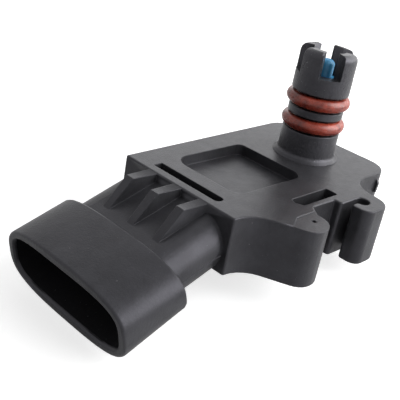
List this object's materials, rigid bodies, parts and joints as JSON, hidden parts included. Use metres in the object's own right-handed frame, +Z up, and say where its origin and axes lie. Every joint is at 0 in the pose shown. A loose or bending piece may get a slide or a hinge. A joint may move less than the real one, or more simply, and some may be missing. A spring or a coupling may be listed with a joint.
{
  "type": "manifold absolute pressure sensor",
  "caption": "Flat moulded pressure sensor with a sealed round port on top, a sloping three-way connector and two mounting ears.",
  "frame": {"origin": "on the pressure port's axis, in the plane of the body's top face that seats on the manifold", "axes": "+Z up along the port's axis, away from the body; -X towards the electrical connector; -Y towards the two mounting ears"},
  "size_m": [0.067, 0.0375, 0.04],
  "materials": {
    "housing_plastic": "satin moulded black glass-filled plastic",
    "cover_plastic": "matte moulded black plastic",
    "bead_silicone": "cured grey silicone adhesive",
    "ring_rubber": "brown-red satin rubber",
    "pin_plastic": "bright blue plastic",
    "board_laminate": "green solder-mask laminate",
    "cell_ceramic": "fine matte ceramic",
    "cell_glass": "clear polished glass",
    "silicon": "polished silicon",
    "seal_rubber": "black rubber",
    "chip_epoxy": "matte black epoxy",
    "capacitor_body": "brown ceramic",
    "tin_plate": "tin-plated copper alloy"
  },
  "bodies": {
    "root": {"housing": "housing_plastic", "rear_cover": "cover_plastic", "cover_seal": "bead_silicone", "ring_lower": "ring_rubber", "ring_upper": "ring_rubber", "damping_pin": "pin_plastic", "circuit_board": "board_laminate", "cell_carrier": "cell_ceramic", "cell_glass": "cell_glass", "sensor_die": "silicon", "cell_seal": "seal_rubber", "signal_ic": "chip_epoxy", "capacitor_1": "capacitor_body", "capacitor_2": "capacitor_body", "capacitor_3": "capacitor_body", "capacitor_4": "capacitor_body", "resistor_1": "chip_epoxy", "resistor_2": "chip_epoxy", "terminal_1": "tin_plate", "terminal_2": "tin_plate", "terminal_3": "tin_plate"}
  },
  "joints": []
}
